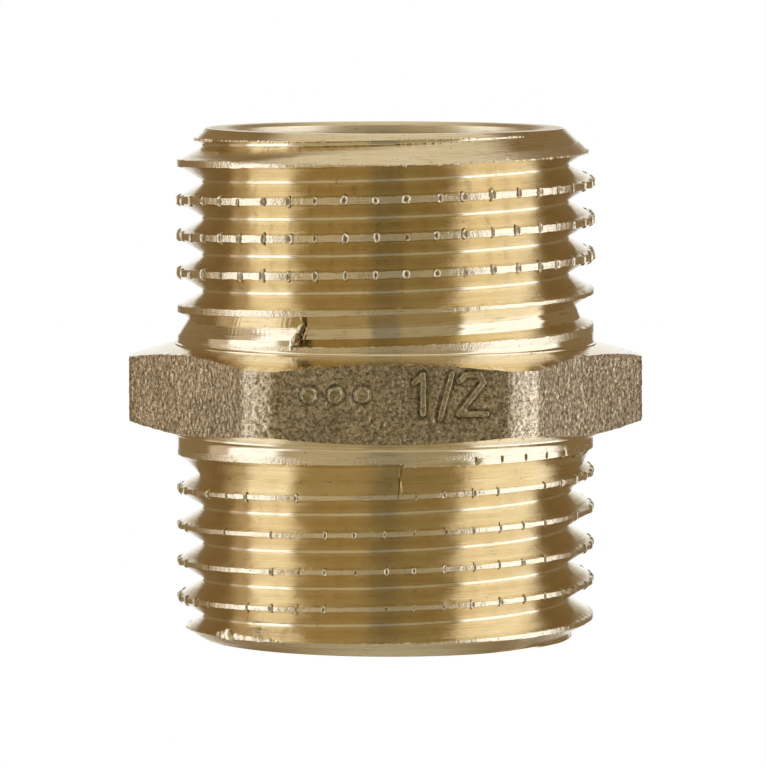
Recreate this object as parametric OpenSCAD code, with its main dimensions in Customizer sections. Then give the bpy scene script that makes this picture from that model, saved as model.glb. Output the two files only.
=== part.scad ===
// Hex nipple, G 1/2: a short brass connector with a parallel pipe thread at each end and a
// hexagon for the wrench between them.
//
// The real fitting is one piece of brass. It is drawn here as its working regions, each a solid of
// its own that meets its neighbours face to face.
// Frame: +Z runs along the bore, the origin is on the bore axis halfway up the hexagon, two
// corners of the hexagon point along X, and the flat with the raised marks faces -Y.

/* [Bore and ends] */
// Diameter of the through bore
bore_d = 15.5; // [13:0.1:16.4]
// Chamfer at each mouth of the bore
mouth_chamfer = 0.2; // [0.05:0.05:0.4]
// Diameter of the plain barrel under the threads
barrel_d = 17.6; // [17.3:0.1:17.8]
// Diameter of the upper rim, where the chamfer meets the end face
upper_rim_d = 18; // [17.9:0.02:18.5]
// Diameter of the lower rim, where the smaller chamfer meets the end face
lower_rim_d = 18.3; // [17.9:0.02:18.5]
// Height of the upper end face above the middle of the hexagon
upper_reach = 12.95; // [8:0.05:20]
// Depth of the lower end face below the middle of the hexagon
lower_reach = 12.55; // [8:0.05:20]

/* [Thread] */
// Major diameter of the thread, inside the band allowed for G 1/2, and of the plain lands
thread_d = 20.8; // [20.675:0.005:20.955]
// Threads in each inch
threads_per_inch = 14; // [13:0.5:15]
// Depth of the thread from crest to root
thread_depth = 1.162; // [1:0.002:1.17]
// Angle of each flank from square to the axis
flank_angle = 27.5; // [25:0.5:28]
// Width of the flat on the crest
crest_flat = 0.34; // [0.2:0.01:0.4]
// Height at which a crest of the upper thread crosses the XZ plane on the +X side
upper_crest_z = 4.84; // [4:0.01:6]
// Height at which a crest of the lower thread crosses the XZ plane on the +X side
lower_crest_z = -5.98; // [-7:0.01:-5]
// Width of the plain land between the hexagon and the upper thread
upper_land = 0.36; // [0.2:0.01:2]
// Width of the plain land between the hexagon and the lower thread
lower_land = 0.67; // [0.2:0.01:2]
// Drop of the thread's run-out for each millimetre that it leaves the land
runout_slope = 0.75; // [0.4:0.05:1.2]

/* [Hexagon] */
// Width across the flats
across_flats = 23; // [22.5:0.1:25]
// Width across the blunted corners
across_corners = 25.8; // [25.3:0.1:28]
// Height of the hexagon where its turned faces meet the lands
hex_height = 4.5; // [4:0.1:10]
// Slope of the turned faces halfway between the land and the corners
face_angle = 15; // [5:1:22]

/* [Raised marks] */
// Height of the size mark
mark_height = 2.5; // [1.5:0.1:3]
// Width of the mark's strokes
stroke = 0.32; // [0.25:0.01:0.5]
// How far the marks stand out from the flat
mark_rise = 0.2; // [0.1:0.05:0.4]
// Distance of the size mark and of the row of dots from the middle of the flat
mark_offset = 2.7; // [2.6:0.05:3.5]
// Height of the marks' middle above the middle of the hexagon
mark_lift = 0.45; // [-0.45:0.05:0.45]
// Diameter of each dot
dot_d = 0.9; // [0.5:0.05:1.1]
// Distance between the dots
dot_pitch = 1.3; // [1.2:0.05:1.5]

/* [Hidden] */

BRASS = [0.80, 0.66, 0.40];
BRIGHT_BRASS = [0.86, 0.72, 0.46];
BLASTED_BRASS = [0.55, 0.47, 0.31];

bore_r = bore_d / 2;
barrel_r = barrel_d / 2;
thread_r = thread_d / 2;
pitch = 25.4 / threads_per_inch;
crest_half = crest_flat / 2;
flank_rise = thread_depth * tan(flank_angle);
half_hex = hex_height / 2;
flat_y = -across_flats / 2;
// Radius of the turned faces' crown, and how far its centre lies beyond the middle of the hexagon
crown_r = (thread_r + across_corners / 2) / 2 / sin(face_angle);
crown_depth = sqrt(crown_r * crown_r - thread_r * thread_r) - half_hex;

// Faces around the thread's polyhedron, and the smoothness of the turned regions
THREAD_SIDES = 60;
TURN_FN = 96;
// Places along one pitch where the thread's section bends or is halfway up a flank
SECTION = [-crest_half, crest_half, crest_half + flank_rise / 2, crest_half + flank_rise,
    pitch - crest_half - flank_rise, pitch - crest_half - flank_rise / 2];
ROWS_PER_PITCH = len(SECTION);
// A point of the thread closer than this to an end of its sleeve moves onto that end
SNAP = 0.02;

// Tube that carries the bore from end face to end face
module barrel() {
    color(BRASS)
        rotate_extrude($fn = TURN_FN)
            polygon([
                [bore_r + mouth_chamfer, upper_reach],
                [barrel_r, upper_reach],
                [barrel_r, -lower_reach],
                [bore_r + mouth_chamfer, -lower_reach],
                [bore_r, -lower_reach + mouth_chamfer],
                [bore_r, upper_reach - mouth_chamfer]
            ]);
}

// Forged hexagon with blunted corners, its upper and lower faces turned to a slightly crowned slope
module hex_collar() {
    color(BLASTED_BRASS)
        difference() {
            intersection() {
                cylinder(d = across_flats / cos(30), h = hex_height, center = true, $fn = 6);
                rotate([0, 0, 30])
                    cylinder(d = across_corners / cos(30), h = hex_height, center = true, $fn = 6);
                translate([0, 0, -crown_depth])
                    sphere(crown_r, $fn = TURN_FN);
                translate([0, 0, crown_depth])
                    sphere(crown_r, $fn = TURN_FN);
            }
            cylinder(r = barrel_r, h = 2 * hex_height, center = true, $fn = TURN_FN);
        }
}

// Plain ring at the thread's full diameter, from height low to height high
module land_ring(low, high) {
    color(BRIGHT_BRASS)
        rotate_extrude($fn = TURN_FN)
            polygon([[barrel_r, low], [thread_r, low], [thread_r, high], [barrel_r, high]]);
}

// Plain land between the hexagon and the upper thread
module upper_land_ring() {
    land_ring(half_hex, half_hex + upper_land);
}

// Plain land between the hexagon and the lower thread
module lower_land_ring() {
    land_ring(-half_hex - lower_land, -half_hex);
}

// Depth of the thread at a distance along the axis from the middle of a crest
function depth_at(along) =
    let(
        wrapped = along - pitch * floor(along / pitch),
        from_crest = min(wrapped, pitch - wrapped)
    )
    min(thread_depth, max(0, (from_crest - crest_half) / tan(flank_angle)));

// Sleeve with a right-hand thread, from its plain land to its chamfered end face. The surface is
// a grid of rows that climb with the helix, cut off at both ends of the sleeve.
module thread_sleeve(land_z, face_z, crest_z, rim_r) {
    low = min(land_z, face_z);
    high = max(land_z, face_z);
    first_z = crest_z - pitch * ceil((crest_z + crest_half - low) / pitch) - pitch;
    last_row = ROWS_PER_PITCH * ceil((high - first_z) / pitch + 1);
    inner_r = barrel_r / cos(180 / THREAD_SIDES);

    function angle_of(side) = 360 * side / THREAD_SIDES;
    function row_z(row, side) =
        first_z + pitch * (floor(row / ROWS_PER_PITCH) + side / THREAD_SIDES)
        + SECTION[row % ROWS_PER_PITCH];
    function section_r(z, side) = thread_r - depth_at(z - crest_z - pitch * side / THREAD_SIDES);
    function runout_r(z) = thread_r - runout_slope * abs(z - land_z);
    function chamfer_r(z) = rim_r + abs(z - face_z);
    function outer_r(z, side) = min(chamfer_r(z), max(runout_r(z), section_r(z, side)));
    function ring_point(r, z, side) = [r * cos(angle_of(side)), r * sin(angle_of(side)), z];

    // Points: the four end rings, then every row of the helical grid
    sides = [0 : THREAD_SIDES - 1];
    points = concat(
        [for (side = sides) ring_point(inner_r, low, side)],
        [for (side = sides) ring_point(inner_r, high, side)],
        [for (side = sides) ring_point(outer_r(low, side), low, side)],
        [for (side = sides) ring_point(outer_r(high, side), high, side)],
        [for (row = [0 : last_row], side = sides)
            let(z = max(low, min(high, row_z(row, side))))
            ring_point(outer_r(z, side), z, side)]
    );

    function inner_low(side) = side % THREAD_SIDES;
    function inner_high(side) = THREAD_SIDES + side % THREAD_SIDES;
    function outer_low(side) = 2 * THREAD_SIDES + side % THREAD_SIDES;
    function outer_high(side) = 3 * THREAD_SIDES + side % THREAD_SIDES;
    // Once round, a row becomes the row one pitch above it
    function grid(row, side) =
        row_z(row, side) < low + SNAP ? outer_low(side)
        : row_z(row, side) > high - SNAP ? outer_high(side)
        : side == THREAD_SIDES ? grid(row + ROWS_PER_PITCH, 0)
        : (4 + row) * THREAD_SIDES + side;
    function has_area(face) = face[0] != face[1] && face[1] != face[2] && face[2] != face[0];

    skin = [for (row = [0 : last_row - 1], side = sides)
        let(
            a = grid(row, side),
            b = grid(row, side + 1),
            c = grid(row + 1, side + 1),
            d = grid(row + 1, side)
        )
        each [[a, d, c], [a, c, b]]];
    bore_and_ends = [for (side = sides) each [
        [inner_low(side + 1), inner_high(side + 1), inner_high(side)],
        [inner_low(side + 1), inner_high(side), inner_low(side)],
        [outer_low(side), outer_low(side + 1), inner_low(side + 1)],
        [outer_low(side), inner_low(side + 1), inner_low(side)],
        [outer_high(side + 1), outer_high(side), inner_high(side)],
        [outer_high(side + 1), inner_high(side), inner_high(side + 1)]
    ]];
    polyhedron(points, concat([for (face = skin) if (has_area(face)) face], bore_and_ends));
}

// Threaded upper end
module upper_thread() {
    color(BRASS)
        thread_sleeve(half_hex + upper_land, upper_reach, upper_crest_z, upper_rim_d / 2);
}

// Threaded lower end
module lower_thread() {
    color(BRASS)
        thread_sleeve(-half_hex - lower_land, -lower_reach, lower_crest_z, lower_rim_d / 2);
}

// Lifts a flat drawing onto the marked flat, its middle at a distance along X
module on_marked_flat(x) {
    translate([x, flat_y, mark_lift])
        rotate([90, 0, 0])
            linear_extrude(mark_rise)
                children();
}

// Straight stroke from one point to another
module bar(from, to) {
    run = to - from;
    translate(from)
        rotate(atan2(run[1], run[0]))
            translate([0, -stroke / 2])
                square([norm(run), stroke]);
}

// Numeral one, standing on the line y = 0
module numeral_one() {
    translate([-stroke / 2, 0])
        square([stroke, mark_height]);
    bar([-mark_height * 0.2, mark_height * 0.74], [0, mark_height - stroke / 2]);
}

// Numeral two, standing on the line y = 0: a hook, a slanting stroke and a foot
module numeral_two() {
    bowl_r = mark_height * 0.25;
    bowl_y = mark_height - bowl_r;
    difference() {
        translate([0, bowl_y])
            circle(bowl_r, $fn = TURN_FN);
        translate([0, bowl_y])
            circle(bowl_r - stroke, $fn = TURN_FN);
        translate([-bowl_r, 0])
            square([bowl_r * 0.9, bowl_y]);
        translate([-bowl_r, 0])
            square([2 * bowl_r, bowl_y - bowl_r * 0.6]);
    }
    bar([-bowl_r + stroke / 2, stroke / 2], [bowl_r * 0.62, bowl_y - bowl_r * 0.35]);
    translate([-bowl_r, 0])
        square([2 * bowl_r, stroke]);
}

// Raised nominal size, a plain 1/2
module size_mark() {
    figure_gap = mark_height * 0.47;
    color(BLASTED_BRASS)
        on_marked_flat(mark_offset)
            translate([0, -mark_height / 2]) {
                translate([-figure_gap, 0])
                    numeral_one();
                bar([-mark_height * 0.14, 0], [mark_height * 0.14, mark_height]);
                translate([figure_gap, 0])
                    numeral_two();
            }
}

// Row of three plain raised dots
module dot_mark() {
    color(BLASTED_BRASS)
        on_marked_flat(-mark_offset)
            for (step = [-1 : 1])
                translate([step * dot_pitch, 0])
                    circle(d = dot_d, $fn = TURN_FN);
}

barrel();
hex_collar();
upper_land_ring();
lower_land_ring();
upper_thread();
lower_thread();
size_mark();
dot_mark();
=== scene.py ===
import math

import bpy
import numpy as np
from mathutils import Matrix, Vector


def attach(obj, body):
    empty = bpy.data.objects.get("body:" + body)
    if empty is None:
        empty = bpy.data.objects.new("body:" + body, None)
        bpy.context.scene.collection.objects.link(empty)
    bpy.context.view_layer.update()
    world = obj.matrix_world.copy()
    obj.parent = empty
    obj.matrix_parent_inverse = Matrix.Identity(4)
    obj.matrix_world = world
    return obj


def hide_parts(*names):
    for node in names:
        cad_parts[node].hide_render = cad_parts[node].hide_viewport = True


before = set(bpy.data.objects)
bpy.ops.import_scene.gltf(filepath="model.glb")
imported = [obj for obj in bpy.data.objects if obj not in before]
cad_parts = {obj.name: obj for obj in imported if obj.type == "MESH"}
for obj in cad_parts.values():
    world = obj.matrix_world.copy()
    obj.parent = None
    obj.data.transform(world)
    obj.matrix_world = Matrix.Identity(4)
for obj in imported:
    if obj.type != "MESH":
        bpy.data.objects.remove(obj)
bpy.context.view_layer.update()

MM = 0.001
RNG = np.random.default_rng(1907)

# ---------------------------------------------------------------- sizes, in millimetres
PITCH = 25.4 / 14  # 14 threads to the inch
THREAD_R = 10.40  # over the crests and the lands
ROOT_DEPTH = 1.222  # from crest to root
ROOT_ROUND = 0.07  # radius of the round on each side of the root
ROOT_FLAT = 0.035  # half the width of the flat along the root
ROOT_START = 0.810  # from the middle of the crest to where the flank meets the round
ROUND_REACH = 0.887  # cosine of the 27.5 degree flank angle
ROUND_SINK = 0.538  # one less the sine of that angle
BARREL_R = 8.8
BORE_R = 7.75
UPPER_FACE = 12.95  # heights are from the middle of the hexagon
LOWER_FACE = -12.54
HALF_HEX = 2.25  # half the height of the hexagon
FLAT_Y = 11.5  # from the axis to a flat
CORNER_R = 12.82  # from the axis to a blunted corner
INSIDE = 0.3  # how far hidden faces reach into a neighbour
WELD = 5e3  # points that round alike at this scale become one

# ---------------------------------------------------------------- noise

LATTICE = RNG.random((64, 64, 64)).astype(np.float32)


def value_noise(x, y, z):
    """Smooth noise from 0 to 1 with features about 1 across. Repeats every 64."""
    x, y, z = np.broadcast_arrays(x, y, z)
    cells, parts = [], []
    for c in (x, y, z):
        base = np.floor(c)
        t = c - base
        cells.append(base.astype(int))
        parts.append(t * t * (3 - 2 * t))
    total = np.zeros(x.shape)
    for dx in (0, 1):
        wx = parts[0] if dx else 1 - parts[0]
        for dy in (0, 1):
            wy = parts[1] if dy else 1 - parts[1]
            for dz in (0, 1):
                wz = parts[2] if dz else 1 - parts[2]
                corner = LATTICE[(cells[0] + dx) & 63, (cells[1] + dy) & 63, (cells[2] + dz) & 63]
                total = total + corner * wx * wy * wz
    return total


def ripple(angle, per_turn, row=0.0):
    """Noise from -1 to 1 that varies round the axis and joins up after a full turn."""
    radius = per_turn / (2 * np.pi)
    return 2 * value_noise(20 + radius * np.cos(angle), 20 + radius * np.sin(angle), row) - 1


def smooth(edge0, edge1, x):
    """Smooth step from 0 at edge0 to 1 at edge1."""
    t = np.clip((x - edge0) / (edge1 - edge0), 0, 1)
    return t * t * (3 - 2 * t)


# ---------------------------------------------------------------- meshes


def add_object(name, data):
    """New object in the scene."""
    thing = bpy.data.objects.new(name, data)
    bpy.context.scene.collection.objects.link(thing)
    return thing


class Shell:
    """Gathers grids of points, then joins them into one mesh with a UV map and two point layers."""

    def __init__(self):
        self.points, self.corners, self.uvs, self.slots = [], [], [], []
        self.layers = {"wear": [], "shade_and_darkening": []}
        self.count = 0

    def grid(self, points, along, across, slot=0, wear=0.0, shade_and_darkening=0.0):
        """points is rows x columns x 3. The outside is on the left of rows crossed with columns."""
        rows, columns = points.shape[:2]
        index = self.count + np.arange(rows * columns).reshape(rows, columns)
        along = np.broadcast_to(along, (rows, columns))
        across = np.broadcast_to(across, (rows, columns))
        quads = np.stack([index[:-1, :-1], index[:-1, 1:], index[1:, 1:], index[1:, :-1]], -1)
        u = np.stack([along[:-1, :-1], along[:-1, 1:], along[:-1, 1:], along[:-1, :-1]], -1)
        v = np.stack([across[:-1, :-1], across[:-1, 1:], across[1:, 1:], across[1:, :-1]], -1)
        self.points.append(points.reshape(-1, 3))
        self.corners.append(quads.reshape(-1, 4))
        self.uvs.append(np.stack([u, v], -1).reshape(-1, 4, 2))
        slots = np.broadcast_to(slot, (rows - 1, columns - 1))
        self.slots.append(slots.reshape(-1))
        self.layers["wear"].append(np.broadcast_to(wear, (rows, columns)).reshape(-1))
        self.layers["shade_and_darkening"].append(np.broadcast_to(shade_and_darkening, (rows, columns)).reshape(-1))
        self.count += rows * columns

    def build(self, name, materials, sharp=None):
        """Welds the grids into one mesh, without the faces that collapse, and adds it to the scene."""
        points = np.concatenate(self.points)
        corners = np.concatenate(self.corners)
        uvs = np.concatenate(self.uvs)
        slots = np.concatenate(self.slots)
        keys = np.round(points * WELD).astype(np.int64)
        _, first, back = np.unique(keys, axis=0, return_index=True, return_inverse=True)
        corners = back.reshape(-1)[corners]
        faces, loops_uv, face_slots = [], [], []
        repeats = corners == np.roll(corners, 1, axis=1)
        crossed = (corners[:, 0] == corners[:, 2]) | (corners[:, 1] == corners[:, 3])
        whole = ~repeats.any(1) & ~crossed
        faces.extend(corners[whole].tolist())
        loops_uv.append(uvs[whole].reshape(-1, 2))
        face_slots.extend(slots[whole].tolist())
        for i in np.where(repeats.sum(1) == 1)[0]:
            keep = ~repeats[i]
            face = corners[i][keep]
            if len(set(face.tolist())) == 3:
                faces.append(face.tolist())
                loops_uv.append(uvs[i][keep])
                face_slots.append(int(slots[i]))
        mesh = bpy.data.meshes.new(name)
        mesh.from_pydata((points[first] * MM).tolist(), [], faces)
        layer = mesh.uv_layers.new(name="lay")
        layer.data.foreach_set("uv", np.concatenate(loops_uv).astype(np.float32).reshape(-1))
        for key, parts in self.layers.items():
            values = np.concatenate(parts)[first].astype(np.float32)
            mesh.attributes.new(key, "FLOAT", "POINT").data.foreach_set("value", values)
        for material in materials:
            mesh.materials.append(material)
        mesh.polygons.foreach_set("material_index", np.array(face_slots, np.int32))
        mesh.shade_smooth()
        if sharp is not None:
            mesh.set_sharp_from_angle(angle=math.radians(sharp))
        mesh.update()
        return add_object(name, mesh)


def polar(radius, angle, height):
    """Points from radius, angle round the axis and height."""
    radius, angle, height = np.broadcast_arrays(radius, angle, height)
    return np.stack([radius * np.cos(angle), radius * np.sin(angle), height], -1)


def round_angles(front_step, rear_step, extra=()):
    """Angles once round from the rear, closer together over the front half and at the extra ones."""
    base = np.concatenate([np.arange(90, 176, rear_step), np.arange(176, 364, front_step),
                           np.arange(364, 450, rear_step)])
    extra = np.array(sorted(set(np.round(extra, 3))))
    if len(extra):
        near = np.abs(base[:, None] - extra[None, :]).min(1) < 0.6 * front_step
        base = base[~near | (base == 90)]
    return np.radians(np.concatenate([np.union1d(base, extra), [450.0]]))


# ---------------------------------------------------------------- threads
# Surface labels: 0 thread, 1 side of the run-out, 2 land, 3 chamfer, 4 cone of the run-out

CREST_ZONE = 0.21  # the crest's rough skin reaches this far from its middle
HALVINGS = 16  # steps when searching for a line between two surfaces


def section_depth(offset, crest, band):
    """Depth below the crest at a distance along the axis from the middle of the crest."""
    flank = (ROOT_DEPTH - ROUND_SINK * ROOT_ROUND) * (offset - crest) / (ROOT_START - crest)
    into_round = np.clip(PITCH / 2 - offset - ROOT_FLAT, 0, ROOT_ROUND * ROUND_REACH)
    arc = ROOT_DEPTH - ROOT_ROUND + np.sqrt(ROOT_ROUND ** 2 - into_round ** 2)
    depth = np.maximum(np.where(offset < ROOT_START, flank, arc), 0)
    return np.where(offset < band, 0.0, depth)


class Thread:
    """The thread at one end, as a radius for every angle and height."""

    def crest(self, turns):
        """Half width of the flat part of the crest."""
        return np.interp(turns, *self.CREST)

    def band(self, turns):
        """Half width of the bright band on the crest, before it is made ragged."""
        return np.interp(turns, *self.BAND)

    def edge(self, turns, side):
        """Half width of the bright band on the crest, ragged along its edge."""
        rag = 0.020 * (2 * value_noise(turns * 470, self.SEED, 3 + side) - 1)
        rag = rag + 0.014 * (2 * value_noise(turns * 130, self.SEED + 5, 3 + side) - 1)
        return self.band(turns) + rag

    def end(self, angle):
        """Height of the end face, which leans by the tilt."""
        return self.FACE_Z - self.TILT * np.cos(angle)

    def climb(self, angle, z):
        """Height above the first turn of the crest."""
        return z - self.CREST_Z - PITCH * angle / (2 * np.pi)

    def surface(self, angle, z):
        """Radius, and the label of the surface that sets it."""
        climb = self.climb(angle, z)
        lap = np.round(climb / PITCH)
        offset = climb - lap * PITCH
        turns = lap + angle / (2 * np.pi)
        side = np.where(offset < 0, -1, 1)
        cut = THREAD_R - section_depth(np.abs(offset), self.crest(turns), self.edge(turns, side))
        rough = 0.010 * (2 * value_noise(turns * 420, 9 + z * 6, self.SEED) - 1)
        cut = cut + rough * (np.abs(offset) < CREST_ZONE)
        run, part = self.runout(angle, z)
        label = np.where(run > cut, part, 0)
        radius = np.maximum(run, cut)
        chamfer = self.RIM + self.CHAMFER_SLOPE * np.abs(z - self.end(angle))
        label = np.where(chamfer < radius, 3, label)
        return np.minimum(radius, chamfer), label

    def level(self, angle, z):
        """Grid heights moved on to the lines where one surface meets another."""
        _, label = self.surface(angle, z)
        rows, columns = np.where(label[:-1] != label[1:])
        at, below = angle[rows, columns], label[rows, columns]
        low, high = z[rows, columns], z[rows + 1, columns]
        for _ in range(HALVINGS):
            middle = (low + high) / 2
            same = self.surface(at, middle)[1] == below
            low, high = np.where(same, middle, low), np.where(same, high, middle)
        line = (low + high) / 2
        target = rows + (line - z[rows, columns] > z[rows + 1, columns] - line)
        moved = z.copy()
        moved[target, columns] = line
        return moved


class UpperThread(Thread):
    """The upper end. A long run-out ends in a gash at the front left, where a second one starts."""

    SIGN, SEED = 1, 3
    CREST_Z, LAND_Z, FACE_Z, TILT = 4.84, 2.42, UPPER_FACE, 0.0
    RIM, CHAMFER_SLOPE = 8.95, 1.0
    FILLET = (0.0, 0.04, 0.08, 0.12, 0.16)
    # turns along the thread, then half the width there: its start at the land is narrower
    CREST = ((-0.6, -0.33, -0.2, 0.0, 0.25), (0.145, 0.145, 0.078, 0.09, 0.13))
    BAND = ((-0.6, -0.33, -0.2, 0.0, 0.12), (0.17, 0.16, 0.085, 0.10, 0.172))
    # degrees round, then the height of the land's edge, and the fall of both parts of the run-out
    EDGE = ((0, 20, 60, 100, 150, 180, 250), (3.12, 3.22, 3.1, 2.8, 2.52, 2.60, 2.97))
    STEEP = ((0, 20, 60, 100, 250), (1.78, 1.78, 1.2, 0.64, 0.64))
    SLOPE = ((0, 20, 100, 250), (0.42, 0.42, 0.62, 0.62))
    SIDE = 0.36  # height of the steep part
    SECOND_Z, SECOND_TURN, SECOND_STEEP, SECOND_SLOPE = 2.56, 244, 1.78, 0.40
    CHATTER_FROM, CHATTER_TO, CHATTER_LENGTH = 196, 241, 0.30
    GASH_TURN, GASH_Z, GASH_LEAN, GASH_WIDTH, GASH_DEPTH = 242.6, 2.5, 1.7, 0.28, 0.17
    LIP_BEFORE, LIP_AFTER = 0.05, 0.035

    def beside_gash(self, turn, z):
        """Distance round from the leaning gash, in widths of it."""
        return (turn - self.GASH_TURN - self.GASH_LEAN * (z - self.GASH_Z)) / self.GASH_WIDTH

    def runout(self, angle, z):
        """Radius of the run-out, and the label of its part."""
        turn = np.degrees(angle) % 360
        beside = self.beside_gash(turn, z)
        past = beside > 0
        second = self.SECOND_Z + PITCH * (turn - self.SECOND_TURN) / 360
        edge = np.where(past, second, np.interp(turn, *self.EDGE))
        steep = np.where(past, self.SECOND_STEEP, np.interp(turn, *self.STEEP))
        slope = np.where(past, self.SECOND_SLOPE, np.interp(turn, *self.SLOPE))
        away = np.maximum(z - edge, 0)
        run = THREAD_R - steep * np.minimum(away, self.SIDE) - slope * np.maximum(away - self.SIDE, 0)
        chatter = np.sin(2 * np.pi * (THREAD_R * angle + 0.45 * z) / self.CHATTER_LENGTH)
        chatter = chatter * (turn > self.CHATTER_FROM) * (turn < self.CHATTER_TO)
        run = run + 0.007 * chatter * (away > 0) * smooth(0, 0.2, away)
        lines = value_noise(z * 16 - 16 * PITCH * angle / (2 * np.pi), 3.0, 5.0) - 0.5
        run = run + 0.016 * lines * smooth(0.3, 0.4, away) * past
        reach = smooth(2.42, 2.6, z) * (1 - smooth(3.55, 3.75, z))
        lips = self.LIP_BEFORE * np.exp(-(beside + 1.6) ** 2) + self.LIP_AFTER * np.exp(-(beside - 1.5) ** 2)
        gash = lips - self.GASH_DEPTH * np.exp(-(beside * 1.2) ** 2)
        run = run + reach * gash * (0.6 + 0.8 * value_noise(z * 7, 1.0, 1.0))
        part = np.where(away <= 0, 2, np.where((away < self.SIDE) & (steep > 1), 1, 4))
        return run, part

    def darker_here(self, angle, z):
        """How much darker it is in the gash."""
        beside = self.beside_gash(np.degrees(angle) % 360, z)
        return np.exp(-(beside * 0.9) ** 2) * smooth(2.4, 2.5, z) * (1 - smooth(3.6, 3.8, z))


class LowerThread(Thread):
    """The lower end. Its two run-outs meet at a small step in the front, with chips beside it."""

    SIGN, SEED = -1, 11
    CREST_Z, LAND_Z, FACE_Z, TILT = -5.98, -2.72, LOWER_FACE, 0.032
    RIM, CHAMFER_SLOPE = 9.2, 1.57
    FILLET = (0.0, 0.05, 0.11, 0.17, 0.22, 0.25)
    CREST = ((0, 1), (0.10, 0.10))
    BAND = ((0, 1), (0.112, 0.112))
    # degrees round, then the height of the land's edge before and past the step
    EDGE = ((0, 90, 130, 180, 230, 275), (-2.95, -3.15, -3.45, -3.35, -3.15, -3.03))
    SECOND_EDGE = ((270, 300, 330, 360), (-3.17, -3.12, -3.02, -2.95))
    # the height of the steep part of the run-out, its fall, and the fall of the rest
    SIDE = ((0, 90, 180, 272, 274, 360), (0.15, 0.2, 0.25, 0.10, 0.15, 0.15))
    STEEP = ((0, 180, 240, 275), (1.4, 1.4, 1.8, 2.3))
    SLOPE = ((0, 90, 130, 180, 275), (0.4, 0.35, 0.6, 0.95, 0.98))
    SECOND_SLOPE = ((270, 300, 330, 360), (1.2, 1.0, 0.6, 0.4))
    SECOND_STEEP = 1.4
    STEP_TURN, STEP_Z, STEP_LEAN, STEP_WIDTH, STEP_LIP = 273.4, -3.1, 0.9, 0.22, 0.045
    CHIP_TURN, CHIP_LAST, CHIP_PITCH, CHIP_DEPTH = 293.4, 352, 8.18, 0.06

    def beside_step(self, turn, z):
        """Degrees round from the leaning step."""
        return turn - self.STEP_TURN - self.STEP_LEAN * (z - self.STEP_Z)

    def runout(self, angle, z):
        """Radius of the run-out, and the label of its part."""
        turn = np.degrees(angle) % 360
        beside = self.beside_step(turn, z)
        past = beside > 0
        edge = np.where(past, np.interp(turn, *self.SECOND_EDGE), np.interp(turn, *self.EDGE))
        away = np.maximum(edge - z, 0)
        side = np.interp(turn, *self.SIDE)
        slope = np.where(past, np.interp(turn, *self.SECOND_SLOPE), np.interp(turn, *self.SLOPE))
        steep = np.where(past, self.SECOND_STEEP, np.interp(turn, *self.STEEP))
        run = THREAD_R - steep * np.minimum(away, side) - slope * np.maximum(away - side, 0)
        reach = (1 - smooth(-3.1, -3.0, z)) * smooth(-4.75, -4.6, z)
        lip = self.STEP_LIP * np.exp(-(beside / self.STEP_WIDTH - 0.9) ** 2)
        run = run + reach * lip * (0.5 + value_noise(z * 6, 2.0, 2.0))
        chips = (turn - self.CHIP_TURN) / self.CHIP_PITCH
        tooth = (1 - (chips - np.floor(chips))) ** 5
        marked = (turn > self.CHIP_TURN) & (turn < self.CHIP_LAST) & (away <= 0)
        run = run - self.CHIP_DEPTH * tooth * marked * smooth(-2.45, -2.55, z)
        part = np.where(away <= 0, 2, np.where(away < side, 1, 4))
        return run, part

    def darker_here(self, angle, z):
        """How much darker it is along the foot of the step."""
        beside = (self.beside_step(np.degrees(angle) % 360, z) + 0.1) / 0.2
        return 0.7 * np.exp(-beside ** 2) * (1 - smooth(-3.1, -3.0, z)) * smooth(-4.75, -4.6, z)


# rows of the thread grid, from the middle of the crest
FLANK_ROWS = (0.27, 0.36, 0.46, 0.56, 0.66)
ROOT_ROWS = (0.811, 0.834, 0.855, 0.872)
EDGE_GAP = 0.004  # between the two rows at each edge of the bright band


def thread_rows(thread, angles):
    """Grid of angles and heights that follows the helix, kept between the land and the end face."""
    low, high = sorted((thread.LAND_Z, thread.FACE_Z))
    first = int(np.floor((low - thread.CREST_Z) / PITCH)) - 3
    last = int(np.ceil((high - thread.CREST_Z) / PITCH)) + 1
    up = FLANK_ROWS + ROOT_ROWS
    rows = []
    for lap in range(first, last + 1):
        turns = lap + angles / (2 * np.pi)
        crest = thread.CREST_Z + PITCH * turns
        below, above = crest - thread.edge(turns, -1), crest + thread.edge(turns, 1)
        rows.append(crest - PITCH / 2)
        rows += [crest - u for u in up[::-1]]
        rows += [below - EDGE_GAP, below + EDGE_GAP, crest, above - EDGE_GAP, above + EDGE_GAP]
        rows += [crest + u for u in up]
    z = np.stack(rows)
    a = np.broadcast_to(angles[None, :], z.shape)
    end = np.broadcast_to(thread.end(angles)[None, :], z.shape)
    z = np.clip(z, np.minimum(end, thread.LAND_Z), np.maximum(end, thread.LAND_Z))
    keep = (z.max(1) > z.min() + 1e-6) | (np.arange(len(z)) == 0)
    return a[keep], thread.level(a[keep], z[keep])


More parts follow.
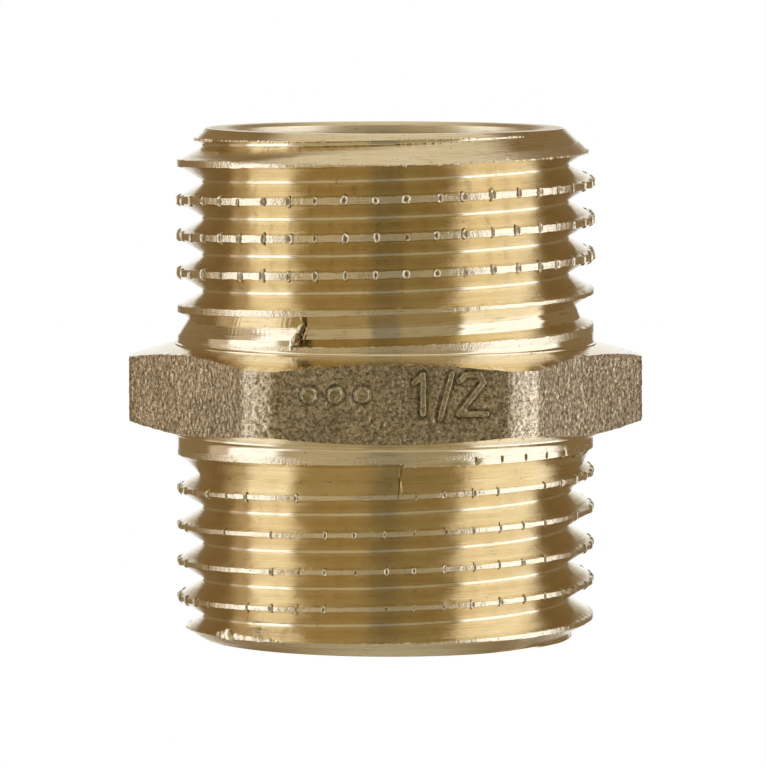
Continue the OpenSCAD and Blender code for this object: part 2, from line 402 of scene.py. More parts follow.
def thread_shell(thread, angles):
    """The whole outside of one threaded end, from inside the hexagon to the end face."""
    shell = Shell()
    a, z = thread_rows(thread, angles)
    radius, _ = thread.surface(a, z)
    middle = [(x[:-1, :-1] + x[1:, 1:]) / 2 for x in (a, z)]
    _, label = thread.surface(*middle)
    climb = thread.climb(a, z)
    offset = np.abs(climb - PITCH * np.round(climb / PITCH))
    wear = 1 - smooth(0.17, 0.23, offset)
    slot = np.isin(label, (2, 3)).astype(int)
    shell.grid(polar(radius, a, z), THREAD_R * a, 0.6 * climb + 2.0 * radius, slot, wear, thread.darker_here(a, z))

    # land up to the hexagon, with a small fillet
    up = thread.SIGN > 0
    hex_z = thread.SIGN * HALF_HEX
    inside_z = hex_z - thread.SIGN * INSIDE
    away = np.array(thread.FILLET)
    out = away[-1] - np.sqrt(away[-1] ** 2 - (away[-1] - away) ** 2)
    heights = np.concatenate([[inside_z], hex_z + thread.SIGN * away, [thread.LAND_Z]])
    radii = np.concatenate([[THREAD_R + out[0]], THREAD_R + out, [THREAD_R]])
    order = np.argsort(heights)
    heights, radii = heights[order][:, None], radii[order][:, None]
    wall = polar(radii, angles[None, :], heights)
    near, far = (0, -1) if up else (-1, 0)
    wall[far] = polar(radius[near], angles, thread.LAND_Z)
    shell.grid(wall, THREAD_R * angles[None, :], 20 + 1.3 * heights, 1)

    # end face, then the hidden faces against the barrel and inside the hexagon
    outer = polar(radius[far], angles, thread.end(angles))
    inner = polar(BARREL_R, angles, thread.end(angles))
    hidden = polar(BARREL_R, angles, inside_z)
    stack = [outer, inner, hidden, wall[near]]
    stack = stack if up else stack[::-1]
    shell.grid(np.stack(stack), THREAD_R * angles[None, :], np.arange(4.0)[:, None] * 3 + 30, 1)
    return shell, (a, z, radius)


# rings of a nick from its outer foot to its middle: size, height, share of the lip, darkening
NICK_RINGS = ((1.38, -0.05, 0.0, 0.9), (1.2, 0.01, 0.7, 0.35), (1.0, 0.012, 1.0, 0.0),
              (0.8, 0.008, 0.55, 0.1), (0.45, 0.006, 0.0, 0.75), (0.0, 0.006, 0.0, 0.9))
NICK_POINTS = 15


def nick(shell, thread, angle, z, wide, tall, height, seed):
    """Small oval nick on the crest with a raised lip round it."""
    turn = np.linspace(0, 2 * np.pi, NICK_POINTS)
    x, y = np.cos(turn), np.sin(turn)
    uneven = 1 + 0.30 * (value_noise(2.1 * x + seed, 2.1 * y + 9, seed * 1.7) - 0.5)
    lip = height * (0.35 + 1.1 * value_noise(1.6 * x + 7, 1.6 * y + seed, seed * 2.3))
    uneven[-1], lip[-1] = uneven[0], lip[0]
    lap = np.round((z - thread.CREST_Z) / PITCH - angle / (2 * np.pi))
    band = thread.band(lap + angle / (2 * np.pi))
    rows = []
    for size, base, share, _ in NICK_RINGS:
        across = size * wide * uneven * x
        up = size * tall * uneven * y
        drop = 0.9 * np.maximum(np.abs(up) - band, 0)
        rows.append(polar(THREAD_R - drop + base + share * lip, angle + across / THREAD_R, z + up))
    darker_here = np.array([ring[3] for ring in NICK_RINGS])[:, None]
    down = np.arange(float(len(NICK_RINGS)))[:, None]
    shell.grid(np.stack(rows), 0.3 * turn[None, :] + seed, down * 0.1 + 5, 0, 1.0, darker_here)


def beads(shell, thread, grid, spacing, size, ends, seed):
    """Tiny drops of burr along the lines where the surfaces with these labels meet."""
    a, z, radius = grid
    rng = np.random.default_rng(seed)
    _, label = thread.surface(a, z + 0.01 * thread.SIGN)
    _, under = thread.surface(a, z - 0.01 * thread.SIGN)
    rows, columns = np.where((label == ends[1]) & (under == ends[0]))
    taken = set()
    for i in rng.permutation(len(rows)):
        angle, height, r = a[rows[i], columns[i]], z[rows[i], columns[i]], radius[rows[i], columns[i]]
        place = (int(angle * THREAD_R / spacing), int(height / 0.3))
        if place in taken:
            continue
        taken.add(place)
        if value_noise(angle * 14, height, seed) < 0.26:
            continue
        s = size * (0.45 + 1.1 * rng.random() ** 2)
        angle = angle + rng.normal(0, 0.3) * spacing / THREAD_R
        turn = np.linspace(0, 2 * np.pi, 6)
        rise = np.array([-1.0, 0.1, 0.8, 1.0])[:, None]
        girth = np.array([0.9, 1.0, 0.6, 0.0])[:, None]
        stretch = 1 + 0.9 * rng.random()
        points = polar(r + 0.6 * s * rise, angle + girth * s * stretch * np.cos(turn)[None, :] / THREAD_R,
                       height + girth * s * np.sin(turn)[None, :])
        shell.grid(points, turn[None, :], rise, 0, 1.0)


def flake(shell, thread, grid, first, last, size, seed):
    """Wavy sliver of burr left on the edge of the chamfer."""
    a, z, radius = grid
    columns = np.where((a[0] > math.radians(first)) & (a[0] < math.radians(last)))[0]
    _, label = thread.surface(a[:, columns], z[:, columns] + 0.01)
    foot = np.argmax(label != 3, axis=0)
    angle, height, edge = a[0, columns], z[foot, columns], radius[foot, columns]
    part = np.linspace(0, 1, len(columns))
    wave = size * (0.3 + 0.9 * value_noise(angle * 50, seed, 1.0)) * np.sqrt(np.sin(np.pi * part))
    up = np.array([-0.5, -0.2, 0.25, 0.7, 1.0, 1.0])[:, None]
    out = np.array([-0.2, 0.35, 0.5, 0.45, 0.25, -0.3])[:, None]
    points = polar(edge + out * wave, angle[None, :], height + up * wave)
    shell.grid(points, THREAD_R * angle[None, :], 70 + up, 0, 1.0)


# ---------------------------------------------------------------- materials


class Nodes:
    """Short ways to add and join the nodes of one material or world."""

    def __init__(self, tree):
        self.tree = tree

    def add(self, kind, **values):
        node = self.tree.nodes.new(kind)
        for key, value in values.items():
            setattr(node, key, value)
        return node

    def link(self, a, b):
        self.tree.links.new(a, b)

    def math(self, operation, a, b=None):
        node = self.add("ShaderNodeMath", operation=operation)
        for i, value in enumerate((a, b)):
            if isinstance(value, (int, float)):
                node.inputs[i].default_value = value
            elif value is not None:
                self.link(value, node.inputs[i])
        return node.outputs[0]

    def noise(self, vector, scale, detail=2.0, rough=0.5):
        node = self.add("ShaderNodeTexNoise")
        node.inputs["Scale"].default_value = scale
        node.inputs["Detail"].default_value = detail
        node.inputs["Roughness"].default_value = rough
        self.link(vector, node.inputs["Vector"])
        return node.outputs["Fac"]

    def scaled(self, vector, scale):
        node = self.add("ShaderNodeMapping")
        node.inputs["Scale"].default_value = scale
        self.link(vector, node.inputs["Vector"])
        return node.outputs["Vector"]

    def mapped(self, value, from_min, from_max, to_min, to_max):
        node = self.add("ShaderNodeMapRange")
        node.inputs["From Min"].default_value = from_min
        node.inputs["From Max"].default_value = from_max
        node.inputs["To Min"].default_value = to_min
        node.inputs["To Max"].default_value = to_max
        self.link(value, node.inputs["Value"])
        return node.outputs["Result"]

    def between(self, angle, low, high):
        """0 at low degrees and 1 at high degrees."""
        return self.mapped(angle, math.radians(low), math.radians(high), 0.0, 1.0)

    def mix(self, factor, a, b):
        node = self.add("ShaderNodeMix", data_type="RGBA")
        for socket, value in ((node.inputs[0], factor), (node.inputs[6], a), (node.inputs[7], b)):
            if isinstance(value, (tuple, float, int)):
                socket.default_value = value
            else:
                self.link(value, socket)
        return node.outputs[2]

    def bump(self, height, strength, distance):
        node = self.add("ShaderNodeBump")
        node.inputs["Strength"].default_value = strength
        node.inputs["Distance"].default_value = distance
        self.link(height, node.inputs["Height"])
        return node.outputs["Normal"]

    def camera_sees(self, seen, other):
        """Shader that is one thing to the camera and the other to every ray but the camera's."""
        mix = self.add("ShaderNodeMixShader")
        self.link(self.add("ShaderNodeLightPath").outputs["Is Camera Ray"], mix.inputs[0])
        self.link(other, mix.inputs[1])
        self.link(seen, mix.inputs[2])
        return mix.outputs[0]


def new_material(name):
    """Metal material, with its nodes and its shader."""
    material = bpy.data.materials.new(name)
    material.use_nodes = True
    nodes = Nodes(material.node_tree)
    shader = material.node_tree.nodes["Principled BSDF"]
    shader.inputs["Metallic"].default_value = 1.0
    return material, nodes, shader


BRASS = (0.80, 0.70, 0.465, 1)
BRASS_DEEP = (0.76, 0.65, 0.415, 1)
BRASS_PALE = (0.83, 0.745, 0.53, 1)
BRASS_DARK = (0.44, 0.33, 0.18, 1)
# Colour towards which the gash, the foot of the step and the nicks are darkened.
DARKER_TONE = (0.10, 0.07, 0.035, 1)
# Colour of the painted shade round the raised marks, and of the darker front flat.
FORGED_SHADE_AND_DARKER = (0.10, 0.08, 0.045, 1)
FORGED_DARK, FORGED_PALE = (0.21, 0.165, 0.09, 1), (1.0, 0.83, 0.53, 1)
MARK_DARK, MARK_PALE = (0.24, 0.20, 0.10, 1), (0.66, 0.58, 0.33, 1)
WORN_ROUGH = 0.14  # how much rougher worn crests are
LINE_DEPTH = 0.00002  # of the tool lines, in metres
GRAIN_DEPTH = 0.00006  # of the forged skin, in metres


def lathe_brass(name, line_scale, line_strength, rough_low, rough_high):
    """Bright brass with tool lines along the UV map, about line_scale of them to a millimetre."""
    material, n, shader = new_material(name)
    lay = n.add("ShaderNodeUVMap", uv_map="lay").outputs["UV"]
    place = n.add("ShaderNodeTexCoord").outputs["Object"]
    fine = n.noise(n.scaled(lay, (0.25, line_scale, 1)), 1.0, 3.0, 0.6)
    broad = n.noise(n.scaled(lay, (0.08, line_scale * 0.22, 1)), 1.0, 2.0, 0.5)
    scratch = n.noise(n.scaled(lay, (0.7, line_scale * 1.6, 1)), 1.0, 2.0, 0.5)
    cloud = n.noise(place, 260, 3.0, 0.6)
    pits = n.noise(place, 5200, 1.0, 0.5)
    tone = n.mix(n.mapped(broad, 0.35, 0.65, 0.0, 1.0), BRASS_DEEP, BRASS)
    tone = n.mix(n.mapped(cloud, 0.5, 0.75, 0.0, 0.5), tone, BRASS_PALE)
    tone = n.mix(n.mapped(scratch, 0.55, 0.72, 0.0, 0.6), tone, BRASS_DARK)
    tone = n.mix(n.mapped(pits, 0.71, 0.76, 0.0, 0.75), tone, BRASS_DARK)
    # Darker in the gash, along the foot of the step and in the nicks, as the point layer says.
    shade_and_darkening = n.add("ShaderNodeAttribute", attribute_name="shade_and_darkening").outputs["Fac"]
    tone = n.mix(n.math("MULTIPLY", shade_and_darkening, 0.85), tone, DARKER_TONE)
    n.link(tone, shader.inputs["Base Color"])
    rough = n.mapped(n.math("ADD", fine, cloud), 0.7, 1.3, rough_low, rough_high)
    wear = n.add("ShaderNodeAttribute", attribute_name="wear").outputs["Fac"]
    n.link(n.math("ADD", rough, n.math("MULTIPLY", wear, WORN_ROUGH)), shader.inputs["Roughness"])
    lines = n.math("ADD", n.math("MULTIPLY", fine, 0.6), n.math("MULTIPLY", broad, 0.8))
    speckle = n.noise(place, 9000, 2.0, 0.6)
    lines = n.math("ADD", lines, n.math("MULTIPLY", n.math("MULTIPLY", wear, speckle), 1.6))
    n.link(n.bump(lines, line_strength, LINE_DEPTH), shader.inputs["Normal"])
    return material


def blasted_brass(name, dark, pale, bump, rough):
    """Grainy forged skin, darkened in its pits, with painted shade round the raised marks."""
    material, n, shader = new_material(name)
    place = n.add("ShaderNodeTexCoord").outputs["Object"]
    coarse = n.noise(place, 5200, 2.0, 0.6)
    fine = n.noise(place, 12500, 2.0, 0.7)
    stain = n.noise(place, 330, 4.0, 0.6)
    tone = n.mix(n.mapped(n.math("ADD", coarse, fine), 0.8, 1.25, 0.0, 1.0), dark, pale)
    tone = n.mix(n.mapped(stain, 0.42, 0.7, 0.0, 0.35), tone, dark)
    # The point layer brings painted shade round the raised marks, and the darker front flat.
    shade_and_darkening = n.add("ShaderNodeAttribute", attribute_name="shade_and_darkening").outputs["Fac"]
    tone = n.mix(n.math("MULTIPLY", shade_and_darkening, 0.8), tone, FORGED_SHADE_AND_DARKER)
    n.link(tone, shader.inputs["Base Color"])
    n.link(n.mapped(coarse, 0.3, 0.7, rough, rough + 0.12), shader.inputs["Roughness"])
    height = n.math("ADD", n.math("MULTIPLY", coarse, 0.5), n.math("MULTIPLY", fine, 0.5))
    n.link(n.bump(height, bump, GRAIN_DEPTH), shader.inputs["Normal"])
    return material


THREAD = lathe_brass("thread_brass", 20.0, 0.6, 0.035, 0.08)
TURNED = lathe_brass("turned_brass", 14.0, 0.55, 0.06, 0.13)
DRILLED = lathe_brass("drilled_brass", 8.0, 0.5, 0.30, 0.42)
BLASTED = blasted_brass("blasted_brass", FORGED_DARK, FORGED_PALE, 0.82, 0.22)
MARKED = blasted_brass("marked_brass", MARK_DARK, MARK_PALE, 0.85, 0.28)

# ---------------------------------------------------------------- threaded ends
FRONT_STEP, REAR_STEP = 0.55, 1.5  # degrees between the columns of the thread grids
TICKS = 44  # nicks along one turn of the crest
TICK_TURN = 266.0  # degrees round to one of them
TICKS_BEFORE = 21  # how many of its turn come before that one
THREAD_SHARP = 28  # edges sharper than this many degrees stay crisp


def tick_turn(k):
    """Degrees round to nick number k of a turn."""
    return TICK_TURN + 360 / TICKS * (k - TICKS_BEFORE)


def upper_nicks(shell, thread):
    """Broad nicks along the upper crest, a few of them missing."""
    rng = np.random.default_rng(77)
    for lap in range(3):
        for k in range(TICKS):
            jitter = rng.normal(0, 1, 6)
            angle = math.radians(tick_turn(k) + 0.35 * jitter[5])
            height = thread.CREST_Z + PITCH * (lap + angle / (2 * np.pi))
            if height > UPPER_FACE - 1.75 or rng.random() < 0.04:
                continue
            wide, tall = 0.135 + 0.022 * jitter[2], 0.215 + 0.025 * jitter[3]
            nick(shell, thread, angle, height + 0.015 * jitter[1], wide, tall,
                 0.06 + 0.01 * jitter[4], lap * 50 + k + 0.5)


def lower_nicks(shell, thread):
    """Narrower nicks along the lower crest, many missing, and a row of them beside the chips."""
    rng = np.random.default_rng(78)
    for lap in range(-3, 1):
        for k in range(TICKS):
            jitter = rng.normal(0, 1, 6)
            angle = math.radians(tick_turn(k) + 2.4 + 0.3 * jitter[5])
            height = thread.CREST_Z + PITCH * (lap + angle / (2 * np.pi))
            if height < LOWER_FACE + 1.0 or rng.random() < 0.22:
                continue
            wide = 0.10 if rng.random() < 0.35 else 0.045
            nick(shell, thread, angle, height, wide, 0.17 + 0.02 * jitter[3],
                 0.038 + 0.006 * jitter[4], lap * 50 + k + 0.5)
    for k in range(7):
        angle = math.radians(thread.CHIP_TURN + 0.2 + thread.CHIP_PITCH * k)
        nick(shell, thread, angle, -2.88, 0.03, 0.24, 0.06, k + 0.5)


def upper_threads():
    """Upper thread and land, with nicks and burrs. Its grid is finer at the gash."""
    thread = UpperThread()
    angles = round_angles(FRONT_STEP, REAR_STEP, np.arange(241.6, 248.2, 0.25))
    shell, grid = thread_shell(thread, angles)
    upper_nicks(shell, thread)
    beads(shell, thread, grid, 0.13, 0.062, (0, 3), 5)
    beads(shell, thread, grid, 0.22, 0.028, (2, 1), 6)
    return shell.build("upper_threads", [THREAD, TURNED], THREAD_SHARP)


def lower_threads():
    """Lower thread and land, with nicks and burrs. Its grid is finer at the step and the chips."""
    thread = LowerThread()
    chips = thread.CHIP_TURN + thread.CHIP_PITCH * np.arange(8)
    close = np.concatenate([np.arange(271.2, 275, 0.2), chips - 0.05, chips + 0.1])
    shell, grid = thread_shell(thread, round_angles(FRONT_STEP, REAR_STEP, close))
    lower_nicks(shell, thread)
    beads(shell, thread, grid, 0.2, 0.035, (0, 3), 7)
    flake(shell, thread, grid, 212, 236, 0.42, 4)
    beads(shell, thread, grid, 0.45, 0.03, (2, 1), 8)
    return shell.build("lower_threads", [THREAD, TURNED], THREAD_SHARP)


upper_piece = upper_threads()
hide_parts("upper_thread", "upper_land_ring")
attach(upper_piece, "root")
lower_piece = lower_threads()
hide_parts("lower_thread", "lower_land_ring")
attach(lower_piece, "root")

# ---------------------------------------------------------------- barrel


def barrel():
    """The wall of the tube, with its bore and a small chamfer at each mouth."""
    shell = Shell()
    angles = np.linspace(0, 2 * np.pi, 361)
    outline = [(BARREL_R, LOWER_FACE), (BORE_R + 0.25, LOWER_FACE), (BORE_R + 0.03, LOWER_FACE + 0.16),
               (BORE_R, LOWER_FACE + 0.25)]
    outline += [(BORE_R, z) for z in np.linspace(LOWER_FACE + 0.6, UPPER_FACE - 0.6, 60)]
    outline += [(BORE_R, UPPER_FACE - 0.25), (BORE_R + 0.03, UPPER_FACE - 0.16),
                (BORE_R + 0.25, UPPER_FACE), (BARREL_R, UPPER_FACE), (BARREL_R, LOWER_FACE)]
    r, z = np.array(outline).T
    lengths = np.concatenate([[0], np.cumsum(np.hypot(np.diff(r), np.diff(z)))])
    points = polar(r[:, None], angles[None, ::-1], z[:, None])
    shell.grid(points, BORE_R * angles[None, :], lengths[:, None])
    return shell.build("barrel_wall", [DRILLED], 30)


barrel_piece = barrel()
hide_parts("barrel")
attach(barrel_piece, "root")

# ---------------------------------------------------------------- hexagon
# the strokes of the size mark and the three dots: x and height of both ends, on the front flat
ONE_X, TWO_X, LOW, HIGH = 1.53, 3.90, -0.47, 1.42
SIZE_STROKES = [
    (ONE_X, LOW, ONE_X, HIGH), (ONE_X - 0.42, HIGH - 0.38, ONE_X, HIGH), (2.36, LOW - 0.2, 2.93, HIGH + 0.02),
    (TWO_X - 0.62, HIGH - 0.30, TWO_X - 0.3, HIGH), (TWO_X - 0.3, HIGH, TWO_X + 0.35, HIGH),
    (TWO_X + 0.35, HIGH, TWO_X + 0.55, HIGH - 0.35), (TWO_X + 0.55, HIGH - 0.35, TWO_X - 0.62, LOW),
    (TWO_X - 0.62, LOW, TWO_X + 0.68, LOW)]
DOT_STROKES = [(x, 0.45, x + 0.001, 0.45) for x in (-4.0, -2.7, -1.4)]
FAR = 9.0  # farther from a stroke than anything that is measured

CROWN_SLOPE_UP = math.tan(math.radians(16.0))
CROWN_SLOPE_DOWN = math.tan(math.radians(14.0))
CORNER_BLEND = 14.0  # how abruptly the flats run into the blunted corners
# degrees from, degrees to and columns, which are closest on the front flat
HEX_SPANS = ((90, 150, 90), (150, 210, 150), (210, 240, 110), (240, 300, 330), (300, 330, 110),
             (330, 390, 150), (390, 450, 91))
HEX_ROWS = 74
GRAIN = 0.045  # height of the forged skin's grain
MARK_SINK = 0.05  # how much lower the skin is round the marks
DOT_EXTRA = 0.27  # by which a dot is wider than the line of the size mark, from its middle out
FRONT_DARKER = 0.36  # how much darker the front flat is made, from 0 to 1
EDGE_SINK = 0.012  # the skin's upper and lower edges are rounded in by this much
SHOULDER = 0.05  # from there in to where the crowned face begins


def stroke_distance(x, z, strokes):
    """Distance on the front flat to the nearest stroke."""
    best = np.full(x.shape, FAR)
    for x0, z0, x1, z1 in strokes:
        dx, dz = x1 - x0, z1 - z0
        t = np.clip(((x - x0) * dx + (z - z0) * dz) / max(dx * dx + dz * dz, 1e-9), 0, 1)
        best = np.minimum(best, np.hypot(x - x0 - t * dx, z - z0 - t * dz))
    return best


def hex_radius(angle):
    """Distance from the axis to the side of the hexagon, whose corners are blunted."""
    def reach(first, apothem):
        off = (angle - math.radians(first) + np.pi / 6) % (np.pi / 3) - np.pi / 6
        return apothem / np.cos(off)
    flats, corners = reach(30, FLAT_Y), reach(0, CORNER_R)
    return -np.log(np.exp(-CORNER_BLEND * flats) + np.exp(-CORNER_BLEND * corners)) / CORNER_BLEND


def forged_sides(shell, angles, radius, top, bottom):
    """The sides with their forged skin, lower round the marks, with painted shade round them and a darker
    front flat.
    """
    t = np.linspace(0, 1, HEX_ROWS)[:, None]
    flat_x, flat_y = radius * np.cos(angles), radius * np.sin(angles)
    x, y, z = np.broadcast_arrays(flat_x, flat_y, bottom + (top - bottom) * t)
    grain = 0.6 * value_noise(x * 4, y * 4, z * 4) + value_noise(x * 8, y * 8, z * 8) - 0.8
    fade = smooth(0, 0.05, t) * smooth(0, 0.05, 1 - t)
    near = np.minimum(stroke_distance(x, z, SIZE_STROKES), stroke_distance(x, z, DOT_STROKES) - DOT_EXTRA)
    near = np.where(y < -10, near, FAR)
    # round_marks sinks the skin round the marks and also darkens its colour there as painted shade.
    round_marks = 1 - smooth(0.16, 0.42, near)
    r = radius + GRAIN * grain * fade - EDGE_SINK * (1 - fade) - MARK_SINK * round_marks
    front = FRONT_DARKER * (1 - smooth(25, 33, np.abs(np.degrees(angles) - 270)))
    along = np.concatenate([[0], np.cumsum(np.hypot(np.diff(flat_x), np.diff(flat_y)))])
    shell.grid(polar(r, angles, z), along, z, 0, 0.0, np.maximum(round_marks, front))


def crowned_face(shell, angles, radius, sign, edge, slope):
    """Turned face from the edge of the sides in to the land, then inside it."""
    rim = radius - EDGE_SINK
    shoulder = rim - SHOULDER
    part = np.linspace(0, 1, 5)[:, None]
    r = np.vstack([rim, shoulder + (THREAD_R - shoulder) * part])
    z = sign * (HALF_HEX - slope * (r - THREAD_R))
    z[0] = edge
    r = np.vstack([r, np.full(len(angles), THREAD_R - INSIDE)])
    z = np.vstack([z, np.full(len(angles), sign * HALF_HEX)])
    shell.grid(polar(r, angles, z)[::sign], THREAD_R * angles, 90 + 1.3 * r[::sign], 1)


def hexagon():
    """The wrench hexagon: forged sides between two crowned faces, closed inside the land."""
    shell = Shell()
    parts = [np.linspace(first, last, count, endpoint=(last == 450)) for first, last, count in HEX_SPANS]
    angles = np.radians(np.concatenate(parts))
    radius = hex_radius(angles)
    over = radius - THREAD_R
    top = HALF_HEX - CROWN_SLOPE_UP * over + 0.02 * (ripple(angles, 420, 31) + ripple(angles, 150, 37))
    bottom = -HALF_HEX + CROWN_SLOPE_DOWN * over + 0.02 * (ripple(angles, 420, 41) + ripple(angles, 150, 47))
    forged_sides(shell, angles, radius, top, bottom)
    crowned_face(shell, angles, radius, 1, top, CROWN_SLOPE_UP)
    crowned_face(shell, angles, radius, -1, bottom, CROWN_SLOPE_DOWN)
    shell.grid(polar(THREAD_R - INSIDE, angles, np.array([[HALF_HEX], [-HALF_HEX]])), 0.0, 0.0, 1)
    return shell.build("hexagon", [BLASTED, TURNED], 32)


hex_piece = hexagon()
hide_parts("hex_collar")
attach(hex_piece, "root")

# ---------------------------------------------------------------- raised marks
MARK_STEP = 0.035  # between the points of a mark's grid
MARGIN = 0.15  # of the grid round the strokes


def raised(name, strokes, half_width, rise):
    """Raised marks: a height field over strokes on the front flat, closed behind inside the flat."""
    xs = [v for s in strokes for v in (s[0], s[2])]
    zs = [v for s in strokes for v in (s[1], s[3])]
    gx = np.arange(min(xs) - half_width - MARGIN, max(xs) + half_width + MARGIN, MARK_STEP)
    gz = np.arange(min(zs) - half_width - MARGIN, max(zs) + half_width + MARGIN, MARK_STEP)
    x, z = np.meshgrid(gx, gz)
    rag = 0.03 * (value_noise(x * 6, z * 6, 3.0) - 0.5)
    d = stroke_distance(x, z, strokes) + rag
    height = rise * (1 - smooth(half_width * 0.7, half_width + 0.03, d))
    height = height - 0.10 * smooth(half_width, half_width + 0.1, d)
    height = height + 0.015 * (value_noise(x * 9, z * 9, 9.0) - 0.5)
    near = d < half_width + 0.10
    keep = near[:-1, :-1] | near[1:, :-1] | near[:-1, 1:] | near[1:, 1:]
    rows, columns = x.shape
    index = np.arange(rows * columns).reshape(rows, columns)
    quads = np.stack([index[:-1, :-1], index[:-1, 1:], index[1:, 1:], index[1:, :-1]], -1)[keep]
    front = np.stack([x, -(FLAT_Y + height), z], -1).reshape(-1, 3)
    back = np.stack([x, np.full(x.shape, -(FLAT_Y - INSIDE)), z], -1).reshape(-1, 3)
    points = np.concatenate([front, back])
    faces = quads.tolist()
    offset = rows * columns
    faces += (quads[:, ::-1] + offset).tolist()
    edges = {}
    for q in quads.tolist():
        for i in range(4):
            a, b = q[i], q[(i + 1) % 4]
            if (b, a) in edges:
                del edges[(b, a)]
            else:
                edges[(a, b)] = True
    faces += [[b, a, a + offset, b + offset] for a, b in edges]
    used = sorted({i for f in faces for i in f})
    place = {old: new for new, old in enumerate(used)}
    mesh = bpy.data.meshes.new(name)
    mesh.from_pydata((points[used] * MM).tolist(), [], [[place[i] for i in f] for f in faces])
    mesh.materials.append(MARKED)
    mesh.shade_smooth()
    mesh.update()
    return add_object(name, mesh)


size_piece = raised("size_mark", SIZE_STROKES, 0.145, 0.15)
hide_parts("size_mark")
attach(size_piece, "root")
dot_piece = raised("dot_mark", DOT_STROKES, 0.40, 0.14)
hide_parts("dot_mark")
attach(dot_piece, "root")

# ---------------------------------------------------------------- stage, light and camera

VIEW_AZ = math.radians(-1.4)  # where the camera stands, round from the front
VIEW_EL = math.radians(4.3756)
VIEW_D = 0.32407  # from the middle of the hexagon, in metres
VIEW_WIDTH = 0.03844614  # seen across the picture at that distance, in metres
SHIFT_X, SHIFT_Y = -0.003359375, 0.002890625  # of the lens, in widths of the picture
SENSOR = 36  # its width in millimetres, as the lens is given for it
FLOOR_GAP = 0.005  # below the lower face


def floor():
    """Ground that the camera sees as plain white, and that every other ray passes through."""
    angles = np.linspace(0, 2 * np.pi, 97)
    rings = np.array([0.5, 30.0, 60.0, 110.0])[:, None]
    shell = Shell()
    shell.grid(polar(rings, angles[None, ::-1], LOWER_FACE - FLOOR_GAP), angles[None, :], rings)
    material = bpy.data.materials.new("pale_floor")
    material.use_nodes = True
    n = Nodes(material.node_tree)
    white = n.add("ShaderNodeEmission")
    white.inputs["Strength"].default_value = 1.0
    surface = n.camera_sees(white.outputs[0], n.add("ShaderNodeBsdfTransparent").outputs[0])
    n.link(surface, material.node_tree.nodes["Material Output"].inputs["Surface"])
    thing = shell.build("floor", [material])


floor()

SIDE_LEFT, SIDE_RIGHT = (0.28, 0.20, 0.115), (0.265, 0.19, 0.11)
BOX, DIM = (1.50, 1.54, 1.86), (0.68, 0.58, 0.52)
LEFT, RIGHT, FRONT = (0.52, 0.445, 0.33), (0.42, 0.36, 0.265), (0.30, 0.275, 0.235)
# the ring of bands: degrees from the front, rightwards, and the light there
BANDS = ((-180, SIDE_LEFT), (-116, SIDE_LEFT), (-113, DIM), (-98, DIM), (-95, BOX), (-64, BOX),
         (-60, LEFT), (-12, LEFT), (-9, FRONT), (7, FRONT), (10, RIGHT), (47, RIGHT),
         (51, BOX), (109, BOX), (112, SIDE_RIGHT), (180, SIDE_RIGHT))
REAR_HIGH, REAR_LOW = (0.42, 0.34, 0.21, 1), (1.0, 1.0, 1.0, 1)
CEILING, GROUND = (0.80, 0.73, 0.65, 1), (0.58, 0.54, 0.46, 1)


def band_ramp(n, place):
    """Colour ramp of the ring of bands. place runs from 0 to 1 once round."""
    ramp = n.add("ShaderNodeValToRGB")
    ramp.color_ramp.interpolation = "LINEAR"
    elements = ramp.color_ramp.elements
    while len(elements) > 1:
        elements.remove(elements[-1])
    for i, (degrees, colour) in enumerate(BANDS):
        position = (degrees + 180) / 360
        element = elements[0] if i == 0 else elements.new(position)
        element.position = position
        element.color = (*colour, 1)
    n.link(place, ramp.inputs["Fac"])
    return ramp.outputs["Color"]


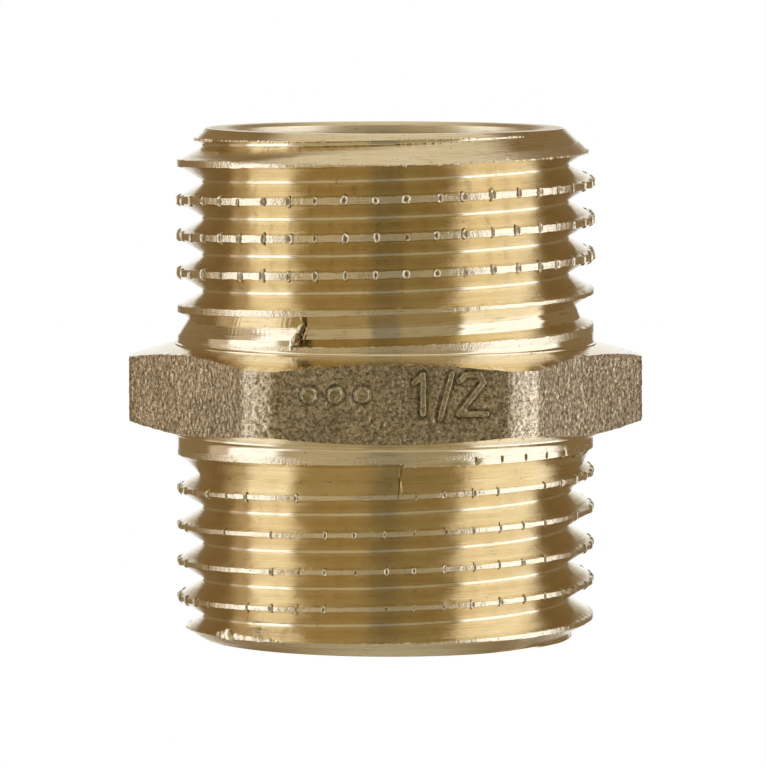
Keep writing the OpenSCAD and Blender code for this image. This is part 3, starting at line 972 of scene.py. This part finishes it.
def studio():
    """Light from all round: a ring of bands, a ceiling and a ground. The camera itself sees white."""
    world = bpy.data.worlds.new("studio")
    bpy.context.scene.world = world
    world.use_nodes = True
    world.node_tree.nodes.clear()
    n = Nodes(world.node_tree)
    out = n.add("ShaderNodeOutputWorld")
    direction = n.add("ShaderNodeTexCoord").outputs["Generated"]
    turn = n.add("ShaderNodeVectorRotate", rotation_type="Z_AXIS")
    turn.inputs["Angle"].default_value = -VIEW_AZ
    n.link(direction, turn.inputs["Vector"])
    parts = n.add("ShaderNodeSeparateXYZ")
    n.link(turn.outputs[0], parts.inputs[0])
    azimuth = n.math("ARCTAN2", parts.outputs[0], n.math("MULTIPLY", parts.outputs[1], -1.0))
    place = n.mapped(azimuth, -math.pi, math.pi, 0.0, 1.0)
    height = n.math("ARCSINE", n.math("MINIMUM", n.math("MAXIMUM", parts.outputs[2], -1.0), 1.0))
    bands = band_ramp(n, place)
    room = n.add("ShaderNodeBackground")
    rear = n.between(n.math("ABSOLUTE", azimuth), 164, 172)
    bands = n.mix(n.math("MULTIPLY", rear, n.between(height, 20, 34)), bands, REAR_HIGH)
    white_rear = n.math("MULTIPLY", n.between(height, 34, 16), n.between(height, -30, -16))
    bands = n.mix(n.math("MULTIPLY", rear, white_rear), bands, REAR_LOW)
    bands = n.mix(n.between(height, 48, 60), bands, CEILING)
    bands = n.mix(n.between(height, -48, -57), bands, GROUND)
    n.link(bands, room.inputs["Color"])
    white = n.add("ShaderNodeBackground")
    white.inputs["Color"].default_value = (1, 1, 1, 1)
    n.link(n.camera_sees(white.outputs[0], room.outputs[0]), out.inputs["Surface"])


studio()


def camera():
    """The camera, which looks at the middle of the hexagon from a little above."""
    data = bpy.data.cameras.new("camera")
    data.sensor_width = SENSOR
    data.lens = VIEW_D * SENSOR / VIEW_WIDTH
    data.clip_start = 0.01
    data.clip_end = 10
    data.shift_x = SHIFT_X
    data.shift_y = SHIFT_Y
    thing = add_object("camera", data)
    back = Vector((math.sin(VIEW_AZ) * math.cos(VIEW_EL), -math.cos(VIEW_AZ) * math.cos(VIEW_EL),
                   math.sin(VIEW_EL)))
    right = Vector((math.cos(VIEW_AZ), math.sin(VIEW_AZ), 0))
    up = back.cross(right)
    matrix = Matrix.Identity(4)
    for i in range(3):
        matrix[i] = (right[i], up[i], back[i], back[i] * VIEW_D)
    thing.matrix_world = matrix
    bpy.context.scene.camera = thing


camera()
bpy.context.scene.view_settings.view_transform = "Standard"
